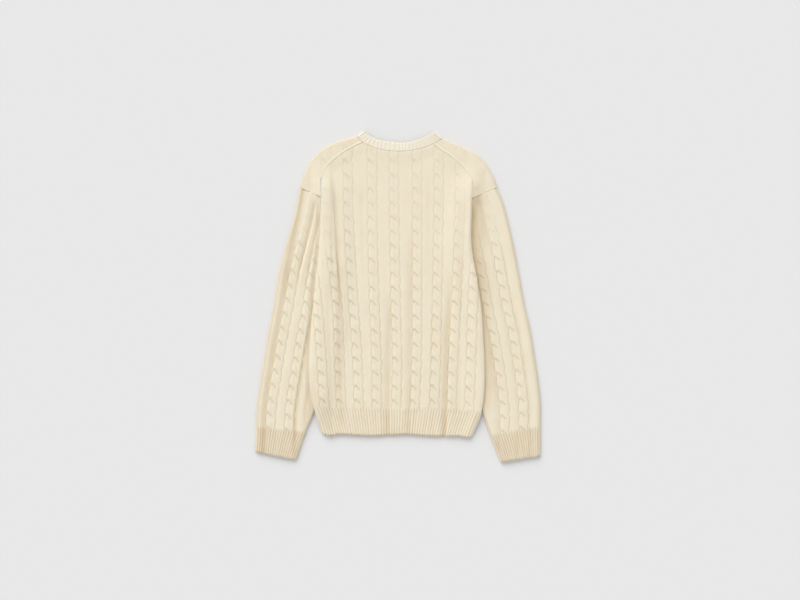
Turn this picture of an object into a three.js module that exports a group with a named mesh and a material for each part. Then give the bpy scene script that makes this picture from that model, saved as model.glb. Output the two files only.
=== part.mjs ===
// A cable knit pullover that lies flat on its front, with its back up and its sleeves beside it.
// Millimetres: X runs across, Y toward the neck, Z up from the surface that it lies on.
import * as THREE from 'three';

// Cloth
const wall = 2.6;
const sleeveWall = 2.3;
const seamGap = 0.35;
const seamAside = 0.7;
const restGap = 0.5;

// Cables: two strands that cross over each other again and again
const crossing = 31;
const rowsPerCrossing = 3;
const cableHalf = 10.5;
const cableRise = 2.4;
const strandSwing = 5;
const strandHalf = 5.8;
const strandPlace = 0.57;
const plainRise = 0.7;
const plainEase = 4;

// Ribs
const ribRise = 1.3;
const hemRibs = 60;
const cuffRibs = 17;
const neckRibs = 24;
const neckRibEdge = 0.08;
const cuffSink = 0.6;
const seamRidge = 1.2;

// Lengths along the body
const hemY = -305;
const ribTopY = -248;
const armholeY = 217.4;
const armholeTop = { x: 215, y: 238, slope: 0.46 };
const waveReach = 120;

// Folds of the body and of the sleeves
const sideCurl = 12;
const foldHollow = 1.75;
const foldRadius = foldHollow + wall;
const foldHeight = 2 * foldRadius;
const sleeveHeight = 8.2;
const coveredHeight = 6.2;
const covering = { beyond: 2.5, spread: 9, below: 8 };
const sleeveEdge = 6;
const edgeEase = 3;
const sleeveCuffShare = 0.1;
const coverLift = coveredHeight + restGap;
const liftOutside = 26;
const frontSlope = { beyond: 5.5, spread: 20 };
const backSlope = { beyond: 9, spread: 24 };

// Air between the back and the front, which grows toward the sides and the shoulders
const middlePuff = 1.4;
const leastPuff = 0.1;
const edgePuff = foldHeight - 2 * wall - restGap;
const sidePuffReach = 22;
const topPuffReach = 30;

// Least distances between neighbouring corners, and between the last rows below a seam
const cornersApart = 1.1;
const frontApart = 1.6;
const rowsApart = 1.3;
const curlInside = 7;

// A table is written as rows under named columns.
function table(columns, rows) {
  return rows.map((row) => Object.fromEntries(columns.map((name, place) => [name, row[place]])));
}

// Edges of the body at heights from the shoulder down to the hem
const bodySides = table(['y', 'left', 'right'], [
  [260, -170, 164],
  [189, -170, 162],
  [117, -172, 161],
  [42, -179, 172],
  [-24, -186, 182],
  [-81, -191, 186],
  [-141, -194, 189],
  [-200, -193, 189],
  [-235, -188, 184],
  [-255, -181, 178],
  [-305, -166, 161],
]);

// The hem is uneven: how far its lower edge and the top of its ribs lie above their places
const hemWave = table(['x', 'hem', 'ribTop'], [
  [-190, 3, 7],
  [-164, 2, 3],
  [-152, -2, 2],
  [-131, 1, 1],
  [-58, -2, 0],
  [15, 1, -1],
  [67, -2, 0.5],
  [100, -3.5, -1],
  [130, -2.5, -3],
  [153, -5.5, -4.5],
  [190, -4.5, -7],
]);

// Middle lines of the nine cables of the back
const cableLines = table(['y', 'c0', 'c1', 'c2', 'c3', 'c4', 'c5', 'c6', 'c7', 'c8'], [
  [340, -205, -158, -111, -57, -9, 42, 90, 137, 186],
  [170, -200, -154, -108, -56, -8, 42, 89, 135, 174],
  [-10, -177, -134, -98, -52, -5, 42, 86, 128, 164],
  [-141, -167, -128, -89, -47, -2, 41, 83, 121, 160],
  [-305, -158, -122, -84, -46, -5, 33, 77, 116, 153],
]);
const cableNames = ['c0', 'c1', 'c2', 'c3', 'c4', 'c5', 'c6', 'c7', 'c8'];

// The front wraps over the shoulders. It folds there, and meets the back at the shoulder seams.
// The first three rows run along the armhole, below the seam's lower end.
const leftShoulder = table(['foldX', 'foldY', 'seamX', 'seamY'], [
  [-215, 240, -170, 218.4],
  [-212, 250, -170, 231],
  [-208, 261, -170, 243.5],
  [-204, 271, -170, 256],
  [-199, 282, -163, 270],
  [-190, 298, -154, 284],
  [-176, 314, -139, 299],
  [-157, 328, -120, 313.5],
  [-135, 338, -104, 323],
  [-113, 345, -90, 330],
  [-93.5, 349.5, -78, 335.5],
]);
const rightShoulder = table(['foldX', 'foldY', 'seamX', 'seamY'], [
  [217, 240, 163, 215.2],
  [214, 250, 163.4, 228],
  [210, 260.5, 163.8, 241],
  [205, 270, 164, 253.5],
  [199.5, 281, 157, 263.5],
  [189.5, 295.5, 147, 275.5],
  [173.5, 310.5, 134, 290],
  [154, 321.5, 119, 302.5],
  [132, 331.5, 104, 313],
  [114, 338.5, 90, 321.8],
  [100, 342, 77, 330.8],
]);
const armRows = 3;

// Neckband on top, from the left tip to the right tip, and below along the front's neckline
const neckTop = table(['seamX', 'seamY', 'edgeX', 'edgeY'], [
  [-87.5, 345.5, -72, 358],
  [-77, 336.5, -63, 352],
  [-51, 324.8, -46, 344],
  [-28, 318.8, -25, 340],
  [0, 316.6, 1, 337],
  [20, 317.6, 20, 337],
  [42, 320.6, 38, 341],
  [66, 327.6, 57, 349],
  [80.5, 334.5, 68, 354],
  [93, 342, 77, 357.5],
]);
const neckBelow = table(['seamX', 'seamY', 'edgeX', 'edgeY'], [
  [-87.5, 345.5, -72, 358],
  [-84, 322, -66, 333],
  [-73, 298, -57, 312],
  [-52, 277, -41, 295],
  [-27, 265.5, -21, 285],
  [0, 262, 0, 282],
  [27, 265.5, 21, 285],
  [52, 277, 41, 295],
  [73, 298, 57, 312],
  [87, 321, 69, 333],
  [93, 342, 77, 357.5],
]);

// Sleeves: their outer edge, and their inner edge, which the body hides down to its hem
const leftSleeve = {
  outer: table(['y', 'x'], [
    [238, -215],
    [173, -229],
    [124, -243],
    [58, -260],
    [-12, -272],
    [-94, -287],
    [-155, -297],
    [-205, -305],
    [-250, -311],
    [-287, -312],
    [-342, -314],
  ]),
  inner: table(['y', 'x'], [
    [207, -148],
    [150, -140],
    [100, -136],
    [40, -140],
    [-25, -146],
    [-105, -156],
    [-165, -169],
    [-212, -181],
    [-257, -194],
    [-299, -208],
    [-357, -227],
  ]),
  cables: [33, 74],
  cuffTop: { outerY: -287, innerY: -299 },
  gathers: table(['inward', 'lean', 'length', 'width', 'rise'], [
    [14, -0.02, 130, 5, 1.1],
    [27, 0.02, 110, 5, -1.2],
    [38, 0.12, 150, 6, 1.3],
    [52, 0.3, 120, 6, -1.0],
  ]),
};
const rightSleeve = {
  outer: table(['y', 'x'], [
    [238, 216.5],
    [206, 230],
    [148, 245],
    [103, 255],
    [50, 265],
    [-16, 277],
    [-73, 290],
    [-135, 300],
    [-188, 308],
    [-238, 313],
    [-287, 313],
    [-348, 314],
  ]),
  inner: table(['y', 'x'], [
    [207, 146],
    [150, 138],
    [100, 134],
    [40, 138],
    [-25, 145],
    [-105, 156],
    [-165, 168],
    [-212, 178],
    [-254, 187],
    [-283, 197],
    [-316, 210],
    [-360, 225],
  ]),
  cables: [38, 80],
  cuffTop: { outerY: -287, innerY: -306 },
  gathers: table(['inward', 'lean', 'length', 'width', 'rise'], [
    [16, 0.03, 90, 6, -0.9],
    [30, 0.1, 140, 6, 1.1],
    [44, 0.25, 110, 6, -1.0],
  ]),
};

// Rows and columns of the plain faces where the front and the back lie on each other
const floorRows = Array.from({ length: 16 }, (_, row) => hemY + (row / 15) * (armholeY - hemY));
const upperShares = [0, 0.08, 0.16, 0.26, 0.4, 0.6, 1];
const floorColumns = [
  -180, -170, -160, -151, -141, -130, -114, -84, -73, -52, -27,
  0, 27, 52, 73, 84, 108, 124, 134, 143, 152, 164, 176,
];

// Long soft folds of the back, as lines with a width and a rise
const backFolds = table(['topX', 'topY', 'lowX', 'lowY', 'width', 'rise'], [
  [-148, 235, -128, 20, 10, -1.3],
  [104, -60, 100, -330, 12, -1.2],
  [-28, -90, -30, -330, 12, -1.0],
  [62, 240, 60, 40, 14, 0.8],
  [-82, 200, -72, -60, 14, 0.9],
  [146, 200, 140, 20, 10, -1.0],
]);

function smoothStep(value) {
  const inside = Math.min(Math.max(value, 0), 1);
  return inside * inside * (3 - 2 * inside);
}

function mix(first, second, share) {
  return first + (second - first) * share;
}

// A smooth curve through a table's rows, as a function of one of its columns
function curveThrough(rows, along, value) {
  const sorted = [...rows].sort((first, second) => first[along] - second[along]);
  const slope = (place) => {
    const before = sorted[Math.max(place - 1, 0)];
    const after = sorted[Math.min(place + 1, sorted.length - 1)];
    return (after[value] - before[value]) / (after[along] - before[along]);
  };
  return (position) => {
    let place = 0;
    while (place < sorted.length - 2 && position > sorted[place + 1][along]) {
      place += 1;
    }
    const start = sorted[place];
    const end = sorted[place + 1];
    const span = end[along] - start[along];
    const share = Math.min(Math.max((position - start[along]) / span, 0), 1);
    const bend = share * (1 - share);
    const straight = mix(start[value], end[value], share);
    const chord = end[value] - start[value];
    const atStart = slope(place) * span - chord;
    const atEnd = slope(place + 1) * span - chord;
    return straight + bend * ((1 - share) * atStart - share * atEnd);
  };
}

const bodyLeft = curveThrough(bodySides, 'y', 'left');
const bodyRight = curveThrough(bodySides, 'y', 'right');
const hemShiftAt = curveThrough(hemWave, 'x', 'hem');
const ribShiftAt = curveThrough(hemWave, 'x', 'ribTop');
const leftSeamAt = curveThrough(leftShoulder.slice(armRows), 'seamX', 'seamY');
const rightSeamAt = curveThrough(rightShoulder.slice(armRows), 'seamX', 'seamY');
const neckSeamAt = curveThrough(neckTop, 'seamX', 'seamY');
const neckLeft = leftShoulder[leftShoulder.length - 1].seamX;
const neckRight = rightShoulder[rightShoulder.length - 1].seamX;
const cableAt = cableNames.map((name) => curveThrough(cableLines, 'y', name));
const sleeveInnerLeft = curveThrough(leftSleeve.inner, 'y', 'x');
const sleeveInnerRight = curveThrough(rightSleeve.inner, 'y', 'x');

// Top edge of the back: left shoulder seam, neck seam, right shoulder seam
function backTopAt(x) {
  if (x < neckLeft) {
    return leftSeamAt(x);
  }
  return x > neckRight ? rightSeamAt(x) : neckSeamAt(x) - seamAside;
}

// How far a place of the body lies above its own height, along the uneven hem and its ribs
function waveAt(x, y) {
  if (y > ribTopY) {
    return ribShiftAt(x) * smoothStep(1 - (y - ribTopY) / waveReach);
  }
  return mix(hemShiftAt(x), ribShiftAt(x), (y - hemY) / (ribTopY - hemY));
}

// Points and triangles of one closed body, whose points may be shifted along the cloth
class Body {
  constructor(shiftAt = () => 0) {
    this.shiftAt = shiftAt;
    this.points = [];
    this.faces = [];
  }

  add(x, y, z) {
    this.points.push(x, y + this.shiftAt(x, y), z);
    return this.points.length / 3 - 1;
  }

  face(first, second, third, flip) {
    if (flip) {
      this.faces.push(first, third, second);
    } else {
      this.faces.push(first, second, third);
    }
  }

  // Joins two rows of corners whose shares run from 0 to 1 and may differ in number.
  join(lower, upper, flip = false) {
    let low = 0;
    let high = 0;
    while (low < lower.length - 1 || high < upper.length - 1) {
      const nextLow = low < lower.length - 1 ? lower[low + 1].share : Infinity;
      const nextHigh = high < upper.length - 1 ? upper[high + 1].share : Infinity;
      if (nextLow <= nextHigh) {
        this.face(lower[low].id, lower[low + 1].id, upper[high].id, flip);
        low += 1;
      } else {
        this.face(lower[low].id, upper[high + 1].id, upper[high].id, flip);
        high += 1;
      }
    }
  }

  surface(rows, flip = false) {
    for (let row = 0; row < rows.length - 1; row += 1) {
      this.join(rows[row], rows[row + 1], flip);
    }
  }

  mesh(name, material) {
    const geometry = new THREE.BufferGeometry();
    geometry.setAttribute('position', new THREE.Float32BufferAttribute(this.points, 3));
    geometry.setIndex(this.faces);
    geometry.computeVertexNormals();
    const mesh = new THREE.Mesh(geometry, material);
    mesh.name = name;
    return mesh;
  }
}

// One side of a wall, as a line of its rows' first or last corners
function sideOf(rows, last) {
  const corners = rows.map((row) => (last ? row[row.length - 1] : row[0]));
  const start = corners[0].y;
  const end = corners[corners.length - 1].y;
  return corners.map(({ id, y }) => ({ id, share: (y - start) / (end - start) }));
}

// How far a cable's surface stands above the groove beside it
function cableHeight(across, down) {
  let height = 0;
  for (const strand of [0, 1]) {
    const turn = Math.PI * (down / crossing + strand);
    const middle = -strandSwing * Math.cos(turn);
    const offset = (across - middle) / strandHalf;
    if (Math.abs(offset) < 1) {
      const level = 0.74 + 0.26 * Math.sin(turn);
      height = Math.max(height, cableRise * level * Math.sqrt(1 - offset * offset));
    }
  }
  return height;
}

function knitHeight(fromCable, down) {
  const distance = Math.abs(fromCable);
  if (distance < cableHalf) {
    return cableHeight(fromCable, down);
  }
  return plainRise * smoothStep((distance - cableHalf) / plainEase);
}

// The armhole runs down and inward under the body's side.
function armholeLineAt(x) {
  return armholeTop.y - Math.abs(armholeTop.x - Math.abs(x)) * armholeTop.slope;
}

// How far the front is lifted off the surface by the sleeves that lie under its sides
function liftAt(x, y, { beyond, spread }) {
  const left = smoothStep((sleeveInnerLeft(y) + beyond + spread - x) / spread);
  const right = smoothStep((x - sleeveInnerRight(y) + beyond + spread) / spread);
  const below = smoothStep(1 - (y - armholeLineAt(x) - beyond) / spread);
  const outside = Math.max(bodyLeft(y) - x, x - bodyRight(y), 0);
  return coverLift * Math.max(left, right) * below * smoothStep(1 - outside / liftOutside);
}

function foldRise(x, y) {
  return backFolds.reduce((sum, fold) => {
    const share = (fold.topY - y) / (fold.topY - fold.lowY);
    const middle = mix(fold.topX, fold.lowX, share);
    const ends = smoothStep(share * 5) * smoothStep((1 - share) * 5);
    return sum + fold.rise * ends * Math.exp(-(((x - middle) / fold.width) ** 2));
  }, 0);
}

// Soft gathers of a sleeve, which fan out below the armhole
function gatherRise(gathers, inward, down) {
  return gathers.reduce((sum, gather) => {
    const fade = smoothStep(down / 12) * smoothStep(1 - down / gather.length);
    const aside = (inward - gather.inward - gather.lean * down) / gather.width;
    return sum + gather.rise * fade * Math.exp(-(aside ** 2));
  }, 0);
}

// Height of the inside of the back above the front
function puffAt(x, y) {
  const toSide = Math.min(x - bodyLeft(y), bodyRight(y) - x);
  const side = smoothStep(1 - (toSide - sideCurl) / sidePuffReach);
  const top = smoothStep(1 - (backTopAt(x) - y) / topPuffReach);
  const level = mix(middlePuff + foldRise(x, y), edgePuff, Math.max(side, top));
  return Math.max(level, leastPuff);
}

function backInside(x, y) {
  return liftAt(x, y, backSlope) + wall + restGap + puffAt(x, y);
}

// A section of the back: the place across is measured along the cloth, down over its side folds.
function backSection(y) {
  const left = bodyLeft(y);
  const right = bodyRight(y);
  const seamAt = (edge, joint) => {
    const lift = Math.max(liftAt(edge, y, backSlope), liftAt(joint, y, backSlope));
    return lift + wall + restGap;
  };
  const seamLeft = seamAt(left, left + sideCurl);
  const seamRight = seamAt(right, right - sideCurl);
  const side = (edge, inward, seam) => {
    const joint = edge + inward * sideCurl;
    const rise = backInside(joint, y) + wall - seam;
    const length = (Math.PI / 2) * Math.sqrt((sideCurl ** 2 + rise ** 2) / 2);
    const at = (fromJoint, raise, depth) => {
      const angle = (fromJoint / length) * (Math.PI / 2);
      return {
        x: joint - inward * (sideCurl + raise - depth) * Math.sin(angle),
        z: seam + (rise + raise - depth) * Math.cos(angle),
      };
    };
    return { joint, length, at };
  };
  const leftSide = side(left, 1, seamLeft);
  const rightSide = side(right, -1, seamRight);
  return {
    start: leftSide.joint - leftSide.length,
    end: rightSide.joint + rightSide.length,
    point(place, raise, depth) {
      if (place < leftSide.joint) {
        return leftSide.at(leftSide.joint - place, raise, depth);
      }
      if (place > rightSide.joint) {
        return rightSide.at(place - rightSide.joint, raise, depth);
      }
      const step = 1;
      const slope = (backInside(place + step, y) - backInside(place - step, y)) / (2 * step);
      const tilt = 1 / Math.hypot(1, slope);
      const ends = smoothStep(Math.min(place - leftSide.joint, rightSide.joint - place) / 8);
      return {
        x: place - raise * slope * tilt * ends,
        z: backInside(place, y) + wall - depth + raise,
      };
    },
  };
}

// Keeps places in order, a little apart and between two ends.
function between(places, start, end, apart) {
  const sorted = [...places].sort((first, second) => first - second);
  const last = sorted.length - 1;
  return sorted.map((place, order) => {
    const high = end - (last - order) * apart;
    return Math.max(Math.min(place, high), start + order * apart);
  });
}

function cablePlaces(middles) {
  const places = [];
  middles.forEach((middle, order) => {
    for (const share of [-1, -strandPlace, 0, strandPlace, 1]) {
      places.push(middle + share * cableHalf);
    }
    if (order < middles.length - 1) {
      places.push((middle + middles[order + 1]) / 2);
    }
  });
  return places;
}

function backRow(body, y, rowsLeft, places, raiseAt, depth) {
  const level = backSection(y);
  return places(level).map((place, order, all) => {
    const top = backTopAt(level.point(place, 0, 0).x);
    const ownY = Math.min(y, top - rowsLeft * rowsApart - seamGap / 2);
    const section = backSection(ownY);
    const inside = Math.min(Math.max(place, section.start), section.end);
    const held = order === 0 ? section.start : order === all.length - 1 ? section.end : inside;
    const point = section.point(held, raiseAt(held, ownY, order), depth);
    return { id: body.add(point.x, ownY, point.z), y: ownY, share: order / (all.length - 1) };
  });
}

function nearestCable(place, y) {
  return cableAt.reduce((nearest, cable) => {
    const distance = place - cable(y);
    return Math.abs(distance) < Math.abs(nearest) ? distance : nearest;
  }, Infinity);
}

function shareOut(count, start, end) {
  return Array.from({ length: count + 1 }, (_, order) => mix(start, end, order / count));
}

function makeBack(material) {
  const body = new Body(waveAt);
  const highest = backTopAt(neckLeft);
  const rowStep = crossing / rowsPerCrossing;
  const rowCount = Math.ceil((highest - ribTopY) / rowStep);
  const ribPlaces = (section) => shareOut(2 * hemRibs, section.start, section.end);
  const ribRaise = (place, y, order) => (order % 2 === 1 ? ribRise : 0);
  const outside = [hemY, mix(hemY, ribTopY, 0.5), ribTopY - 3].map((y) =>
    backRow(body, y, rowCount, ribPlaces, ribRaise, 0));
  const cableRaise = (place, y) => knitHeight(nearestCable(place, y), -y);
  for (let row = 0; row <= rowCount; row += 1) {
    const y = ribTopY + row * rowStep;
    const places = (section) => {
      const middles = cableAt.map((cable) => cable(y));
      const all = [section.start - 1, ...cablePlaces(middles), section.end + 1];
      return between(all, section.start, section.end, cornersApart);
    };
    outside.push(backRow(body, y, rowCount - row, places, cableRaise, 0));
  }
  const inside = [];
  const upperRows = upperShares.slice(1).map((share) => mix(armholeY, highest, share));
  const insideRows = [...floorRows, ...upperRows];
  insideRows.forEach((y, row) => {
    const places = ({ start, end }) => between([
      start, start + curlInside, ...floorColumns, end - curlInside, end,
    ], start, end, cornersApart);
    inside.push(backRow(body, y, insideRows.length - 1 - row, places, () => 0, wall));
  });
  body.surface(outside);
  body.surface(inside, true);
  body.join(inside[0], outside[0]);
  body.join(outside[outside.length - 1], inside[inside.length - 1]);
  body.join(sideOf(outside, false), sideOf(inside, false));
  body.join(sideOf(inside, true), sideOf(outside, true));
  return body.mesh('back', material);
}

// The front is a grid of columns, from the hem over the shoulder folds to the seams.
function makeFront(material) {
  const body = new Body(waveAt);
  const shoulderColumn = (row, place, rows) => {
    const outward = new THREE.Vector2(row.foldX - row.seamX, row.foldY - row.seamY).normalize();
    const before = rows[Math.max(place - 1, 0)];
    const after = rows[Math.min(place + 1, rows.length - 1)];
    const along = new THREE.Vector2(after.seamX - before.seamX, after.seamY - before.seamY);
    along.normalize();
    const turn = along.cross(outward) > 0 ? 1 : -1;
    const aside = new THREE.Vector2(-along.y, along.x).multiplyScalar(turn * seamAside);
    return {
      outward,
      seam: { x: row.seamX + aside.x, y: row.seamY + aside.y },
      fold: {
        x: row.foldX - outward.x * foldRadius,
        y: row.foldY - outward.y * foldRadius,
      },
    };
  };
  const columns = [
    ...leftShoulder.map(shoulderColumn),
    ...neckBelow.slice(1, -1).map((row) => ({ neck: { x: row.seamX, y: row.seamY - seamGap } })),
    ...rightShoulder.map(shoulderColumn).reverse(),
  ];
  const grid = columns.map((column, order) => {
    const fromSide = Math.min(order, columns.length - 1 - order);
    const floorPlace = fromSide < armRows ? -1 : order - armRows;
    return frontColumn(body, column, floorPlace);
  });
  const cells = [];
  grid.slice(0, -1).forEach((column, order) => {
    const next = grid[order + 1];
    column.forEach((corner, row) => {
      const square = [corner, next[row], next[row + 1], column[row + 1]];
      if (square.every(Boolean)) {
        cells.push(square);
      }
    });
  });
  addCells(body, cells);
  return body.mesh('front', material);
}

// Places across the front at one height, from one side seam to the other
function floorPlaces(y) {
  const start = bodyLeft(y) + seamAside;
  const end = bodyRight(y) - seamAside;
  return between([start, ...floorColumns, end], start, end, frontApart);
}

// Corners of one column of the front: along the surface, round the fold and back to the seam
function frontColumn(body, column, floorPlace) {
  const corners = [];
  const add = (out, inner) => corners.push({
    out: body.add(out.x, out.y, out.z),
    in: body.add(inner.x, inner.y, inner.z),
  });
  const addOnFloor = (x, y) => {
    const z = liftAt(x, y, frontSlope);
    add({ x, y, z }, { x, y, z: z + wall });
  };
  const top = column.neck ?? column.fold;
  const start = floorPlace < 0
    ? { x: top.x, y: armholeLineAt(top.x) + seamGap }
    : { x: floorPlaces(armholeY)[floorPlace], y: armholeY };
  floorRows.slice(0, -1).forEach((y) => {
    if (floorPlace < 0) {
      corners.push(null);
    } else {
      addOnFloor(floorPlaces(y)[floorPlace], y);
    }
  });
  upperShares.forEach((share) => {
    addOnFloor(mix(start.x, top.x, share), mix(start.y, top.y, share));
  });
  if (column.neck) {
    return corners;
  }
  const middle = liftAt(top.x, top.y, frontSlope) + foldRadius;
  [-45, 0, 45, 90].forEach((degrees) => {
    const angle = THREE.MathUtils.degToRad(degrees);
    const onFold = (radius) => ({
      x: top.x + column.outward.x * radius * Math.cos(angle),
      y: top.y + column.outward.y * radius * Math.cos(angle),
      z: middle + radius * Math.sin(angle),
    });
    add(onFold(foldRadius), onFold(foldHollow));
  });
  [0.5, 0.85, 1].forEach((share) => {
    const x = mix(top.x, column.seam.x, share);
    const y = mix(top.y, column.seam.y, share);
    const z = liftAt(x, y, backSlope) + foldHeight;
    add({ x, y, z: z + (share === 1 ? seamRidge : 0) }, { x, y, z: z - wall });
  });
  return corners;
}

// Both faces of each cell, and a rim along every edge that only one cell has
function addCells(body, cells) {
  const edges = new Map();
  const note = (from, to) => {
    const back = `${to.out},${from.out}`;
    if (edges.has(back)) {
      edges.delete(back);
    } else {
      edges.set(`${from.out},${to.out}`, [from, to]);
    }
  };
  cells.forEach(([first, second, third, fourth]) => {
    body.face(first.out, third.out, second.out);
    body.face(first.out, fourth.out, third.out);
    body.face(first.in, second.in, third.in);
    body.face(first.in, third.in, fourth.in);
    note(first, second);
    note(second, third);
    note(third, fourth);
    note(fourth, first);
  });
  edges.forEach(([from, to]) => {
    body.face(from.out, to.out, to.in);
    body.face(from.out, to.in, from.in);
  });
}

// A flattened ring across a sleeve, from its left edge over the top and back below
function sleeveRing(body, ends, topPlaces, heightAt, inset, edgeAngles) {
  const width = Math.hypot(ends.right.x - ends.left.x, ends.right.y - ends.left.y);
  const ring = [];
  const put = (place, z, share) => {
    const part = place / width;
    const x = mix(ends.left.x, ends.right.x, part);
    const y = mix(ends.left.y, ends.right.y, part);
    ring.push({ id: body.add(x, y, z), share });
  };
  const edgeHeight = (place) => heightAt(place) - inset;
  const edgePoint = (joint, outward, degrees, below) => {
    const angle = THREE.MathUtils.degToRad(degrees);
    const reach = sleeveEdge - inset;
    const top = edgeHeight(joint);
    const middle = (top + inset) / 2;
    const half = (top - inset) / 2;
    const place = joint + outward * reach * Math.cos(angle);
    const share = (0.5 * place) / width;
    put(place, middle + half * Math.sin(angle), below ? 1 - share : share);
  };
  const leftJoint = sleeveEdge;
  const rightJoint = width - sleeveEdge;
  edgeAngles.forEach((degrees) => edgePoint(leftJoint, -1, degrees, false));
  [leftJoint, ...topPlaces, rightJoint].forEach((place) => {
    put(place, edgeHeight(place), (0.5 * place) / width);
  });
  [...edgeAngles].reverse().forEach((degrees) => edgePoint(rightJoint, 1, degrees, false));
  [rightJoint, width / 2, leftJoint].forEach((place) => {
    put(place, inset, 1 - (0.5 * place) / width);
  });
  ring.push({ id: ring[0].id, share: 1 });
  return ring;
}

function sleeveEnds(sleeve, share, sideSign) {
  const outerRange = [sleeve.outer[0], sleeve.outer[sleeve.outer.length - 1]];
  const innerRange = [sleeve.inner[0], sleeve.inner[sleeve.inner.length - 1]];
  const cuffShare = sleeveCuffShare;
  const yAt = (range, cuffY) => (share < cuffShare
    ? mix(range[1].y, cuffY, share / cuffShare)
    : mix(cuffY, range[0].y, (share - cuffShare) / (1 - cuffShare)));
  const outerY = yAt(outerRange, sleeve.cuffTop.outerY);
  const innerY = yAt(innerRange, sleeve.cuffTop.innerY);
  const outer = { x: curveThrough(sleeve.outer, 'y', 'x')(outerY), y: outerY };
  const inner = { x: curveThrough(sleeve.inner, 'y', 'x')(innerY), y: innerY };
  return sideSign < 0 ? { left: outer, right: inner } : { left: inner, right: outer };
}

function makeSleeve(name, sleeve, sideSign, material) {
  const body = new Body();
  const sleeveRows = 51;
  const plan = (share) => {
    const ends = sleeveEnds(sleeve, share, sideSign);
    const width = Math.hypot(ends.right.x - ends.left.x, ends.right.y - ends.left.y);
    const at = (place) => ({
      x: mix(ends.left.x, ends.right.x, place / width),
      y: mix(ends.left.y, ends.right.y, place / width),
    });
    const covered = (place) => {
      const point = at(place);
      const edge = sideSign < 0 ? bodyLeft(point.y) - point.x : point.x - bodyRight(point.y);
      const { beyond, spread, below } = covering;
      return point.y < hemY - below ? 0 : smoothStep(1 - (edge - beyond) / spread);
    };
    const plain = (place) => mix(sleeveHeight, coveredHeight, covered(place));
    const middles = sleeve.cables.map((inward) => (sideSign < 0 ? inward : width - inward));
    middles.sort((first, second) => first - second);
    const edgePlace = (beyond) => {
      const y = (ends.left.y + ends.right.y) / 2;
      const edge = sideSign < 0 ? bodyLeft(y) - beyond : bodyRight(y) + beyond;
      return (edge - ends.left.x) / ((ends.right.x - ends.left.x) / width);
    };
    return { ends, width, covered, plain, middles, edgePlace, along: -at(width / 2).y };
  };
  const topEdge = sleeveEdge + edgeEase / 2;
  const fit = (places, width) => between(places, topEdge, width - topEdge, cornersApart);
  const outside = [];
  [0, 0.5, 0.95].forEach((cuffShare) => {
    const { ends, width, plain } = plan(cuffShare * sleeveCuffShare);
    const places = shareOut(2 * cuffRibs, topEdge, width - topEdge);
    const height = (place) => {
      const raised = places.indexOf(place) % 2 === 1;
      return plain(place) - cuffSink + (raised ? ribRise : 0);
    };
    outside.push(sleeveRing(body, ends, places, height, 0, [0, 45]));
  });
  for (let row = 0; row <= sleeveRows; row += 1) {
    const share = mix(sleeveCuffShare, 1, row / sleeveRows);
    const { ends, width, covered, plain, middles, edgePlace, along } = plan(share);
    const { beyond, spread } = covering;
    const coverEdges = [edgePlace(1), edgePlace(beyond + spread)];
    const places = fit([...cablePlaces(middles), ...coverEdges], width);
    const height = (place) => {
      const nearest = middles
        .map((middle) => place - middle)
        .reduce((best, distance) => (Math.abs(distance) < Math.abs(best) ? distance : best));
      const toEdge = Math.min(place, width - place) - sleeveEdge;
      const fromEdge = smoothStep(toEdge / edgeEase);
      const inward = sideSign < 0 ? place : width - place;
      const gather = gatherRise(sleeve.gathers, inward, sleeve.outer[0].y + along);
      return plain(place) + (knitHeight(nearest, along) + gather) * (1 - covered(place)) * fromEdge;
    };
    outside.push(sleeveRing(body, ends, places, height, 0, [0, 45]));
  }
  const inside = [];
  const insideRows = 18;
  for (let row = 0; row <= insideRows; row += 1) {
    const { ends, width, plain, edgePlace } = plan(row / insideRows);
    const places = fit([edgePlace(1), edgePlace(covering.beyond + covering.spread)], width);
    inside.push(sleeveRing(body, ends, places, plain, sleeveWall, [0]));
  }
  body.surface(outside);
  body.surface(inside, true);
  body.join(inside[0], outside[0]);
  body.join(outside[outside.length - 1], inside[inside.length - 1]);
  return body.mesh(name, material);
}

// Stations round the neckband: its seam side, its edge side and the way its outside faces
function neckStations() {
  const topCurves = ['seamX', 'edgeX', 'edgeY'].map((name) => {
    const rows = neckTop.map((row, order) => ({ order, value: row[name] }));
    return curveThrough(rows, 'order', 'value');
  });
  const topZ = wall / 2 + foldRadius + foldHollow;
  const stations = [];
  shareOut(2 * neckRibs, 0, neckTop.length - 1).forEach((order, count) => {
    const [seamX, edgeX, edgeY] = topCurves.map((curve) => curve(order));
    stations.push({
      seam: new THREE.Vector3(seamX, neckSeamAt(seamX), topZ),
      edge: new THREE.Vector3(edgeX, edgeY, topZ),
      facing: new THREE.Vector3(0, 0, 1),
      raised: count % 2 === 1,
    });
  });
  const tip = (row, turns) => {
    const across = new THREE.Vector2(row.edgeX - row.seamX, row.edgeY - row.seamY).normalize();
    const outward = new THREE.Vector3(-across.y, across.x, 0);
    if (row.seamX > 0) {
      outward.set(across.y, -across.x, 0);
    }
    turns.forEach((degrees) => {
      const angle = THREE.MathUtils.degToRad(degrees);
      const facing = outward.clone().multiplyScalar(Math.sin(angle));
      facing.z = Math.cos(angle);
      const radius = foldHollow + wall / 2;
      const shift = facing.clone().multiplyScalar(radius);
      const middle = foldRadius;
      stations.push({
        seam: new THREE.Vector3(row.seamX, row.seamY, middle).add(shift),
        edge: new THREE.Vector3(row.edgeX, row.edgeY, middle).add(shift),
        facing,
        raised: false,
      });
    });
  };
  tip(neckTop[neckTop.length - 1], [45, 90, 135]);
  [...neckBelow].reverse().forEach((row) => {
    stations.push({
      seam: new THREE.Vector3(row.seamX, row.seamY, wall / 2),
      edge: new THREE.Vector3(row.edgeX, row.edgeY, wall / 2),
      facing: new THREE.Vector3(0, 0, -1),
      raised: false,
    });
  });
  tip(neckTop[0], [135, 90, 45]);
  return stations;
}

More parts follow.
